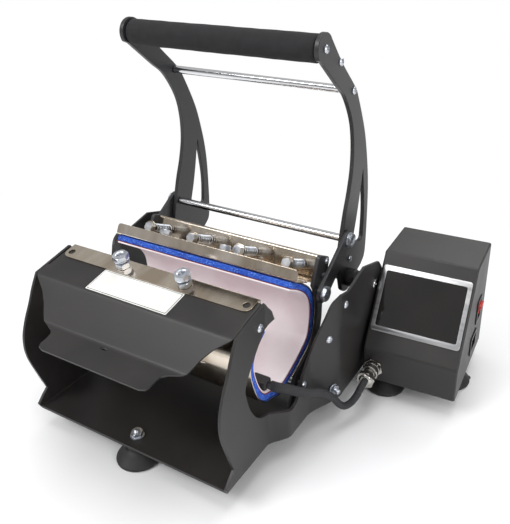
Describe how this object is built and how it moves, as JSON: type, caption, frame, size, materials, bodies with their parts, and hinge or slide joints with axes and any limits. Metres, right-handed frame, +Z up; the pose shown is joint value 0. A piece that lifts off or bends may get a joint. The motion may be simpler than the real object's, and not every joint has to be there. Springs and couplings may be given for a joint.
{
  "type": "tumbler heat press",
  "caption": "Clamshell press for drinking tumblers: bent steel base with a sprung heating mat, a lever handle with rods and links, and a separate control box.",
  "frame": {"origin": "on the tabletop under the centre of the front suction foot", "axes": "+Z up, +X along the tumbler to the user's right, -Y towards the user"},
  "size_m": [0.4275, 0.3977, 0.4173],
  "materials": {
    "black_paint": "fine textured powder coat, semi-matte",
    "stainless": "polished sheet with fine brushing",
    "chrome_steel": "polished",
    "zinc_steel": "zinc plated",
    "silicone": "sponge, matte",
    "heater_liner": "smooth coated heater face",
    "foam": "closed-cell foam, matte",
    "rubber_black": "moulded rubber",
    "plastic_black": "moulded",
    "plastic_red": "glossy",
    "dark_glass": "polished, opaque black behind",
    "brushed_aluminium": "brushed",
    "nickel": "bright nickel",
    "cable_sleeve": "braided sleeve",
    "board": "solder mask"
  },
  "bodies": {
    "root": {"base_frame": "black_paint", "front_hood": "black_paint", "front_cradle": "stainless", "limit_bolt_left": "zinc_steel", "limit_bolt_right": "zinc_steel", "limit_nut_left": "zinc_steel", "limit_nut_right": "zinc_steel", "main_axle": "chrome_steel", "axle_spacer_left": "plastic_black", "axle_spacer_right": "plastic_black", "front_suction_foot": "rubber_black", "rear_suction_foot_left": "rubber_black", "rear_suction_foot_right": "rubber_black", "console_shell": "black_paint", "console_base": "black_paint", "control_board": "board", "lcd_bezel": "brushed_aluminium", "touch_glass": "dark_glass", "switch_housing": "plastic_black", "inlet_socket": "plastic_black", "connector_socket": "nickel", "cable_plug": "nickel", "heater_cable": "cable_sleeve", "terminal_cover": "rubber_black", "clip_bolt": "zinc_steel", "console_foot_front": "rubber_black", "console_foot_right": "rubber_black", "console_foot_rear": "rubber_black", "silicone_blanket": "silicone", "heating_liner": "heater_liner"},
    "handle": {"arm_left": "black_paint", "arm_right": "black_paint", "grip_core": "chrome_steel", "foam_grip": "foam", "upper_rod": "chrome_steel", "lower_rod": "chrome_steel", "rod_screw_left": "zinc_steel", "rod_screw_right": "zinc_steel"},
    "link_left": {"link_left": "black_paint", "link_pin_left": "zinc_steel"},
    "link_right": {"link_right": "black_paint", "link_pin_right": "zinc_steel"},
    "press": {"rear_wrap": "stainless", "mat_bracket": "stainless", "spring_bolt_1": "zinc_steel", "spring_bolt_2": "zinc_steel", "spring_bolt_3": "zinc_steel", "spring_bolt_4": "zinc_steel", "spring_1": "zinc_steel", "spring_2": "zinc_steel", "spring_3": "zinc_steel", "spring_4": "zinc_steel", "clamp_bolt_left": "zinc_steel", "clamp_bolt_right": "zinc_steel", "jaw_axle": "zinc_steel"},
    "jaw_frame": {"jaw_side_left": "black_paint", "jaw_side_right": "black_paint", "back_plate": "stainless"},
    "rocker": {"power_rocker": "plastic_red"},
    "lock_ring": {"lock_ring": "nickel"}
  },
  "joints": [
    {"name": "handle_swing", "type": "hinge", "parent": "root", "child": "handle", "pos_m": [0, 0.244, 0.128], "axis": [1, 0, 0], "range_deg": [0, 45]},
    {"name": "jaw_swing", "type": "hinge", "parent": "root", "child": "press", "pos_m": [0, 0.132, 0.047], "axis": [1, 0, 0], "range_deg": [0, 26], "deforming": ["silicone_blanket", "heating_liner"]},
    {"name": "jaw_float", "type": "hinge", "parent": "press", "child": "jaw_frame", "pos_m": [0, 0.132, 0.047], "axis": [1, 0, 0], "range_deg": [0, 2], "stiffness_Nm_per_rad": 270, "springref_deg": -1, "deforming": ["spring_1", "spring_2", "spring_3", "spring_4"]},
    {"name": "link_left_swing", "type": "hinge", "parent": "handle", "child": "link_left", "pos_m": [-0.12375, 0.234, 0.182], "axis": [1, 0, 0], "range_deg": [-71.36, 0]},
    {"name": "link_right_swing", "type": "hinge", "parent": "handle", "child": "link_right", "pos_m": [0.12375, 0.234, 0.182], "axis": [1, 0, 0], "range_deg": [-71.36, 0]},
    {"name": "power_switch", "type": "hinge", "parent": "root", "child": "rocker", "pos_m": [0.25935, 0.30753, 0.091], "axis": [-0.061, 0.9981, 0], "range_deg": [-20, 0]},
    {"name": "connector_ring_turn", "type": "hinge", "parent": "root", "child": "lock_ring", "pos_m": [0.17468, 0.20617, 0.042], "axis": [0.061, -0.9981, 0], "range_deg": [0, 360]}
  ],
  "couplings": [
    {"joint": "jaw_swing", "follows": "handle_swing", "ratio": 0.57778},
    {"joint": "link_left_swing", "follows": "handle_swing", "ratio": -1.5859},
    {"joint": "link_right_swing", "follows": "handle_swing", "ratio": -1.5859}
  ]
}
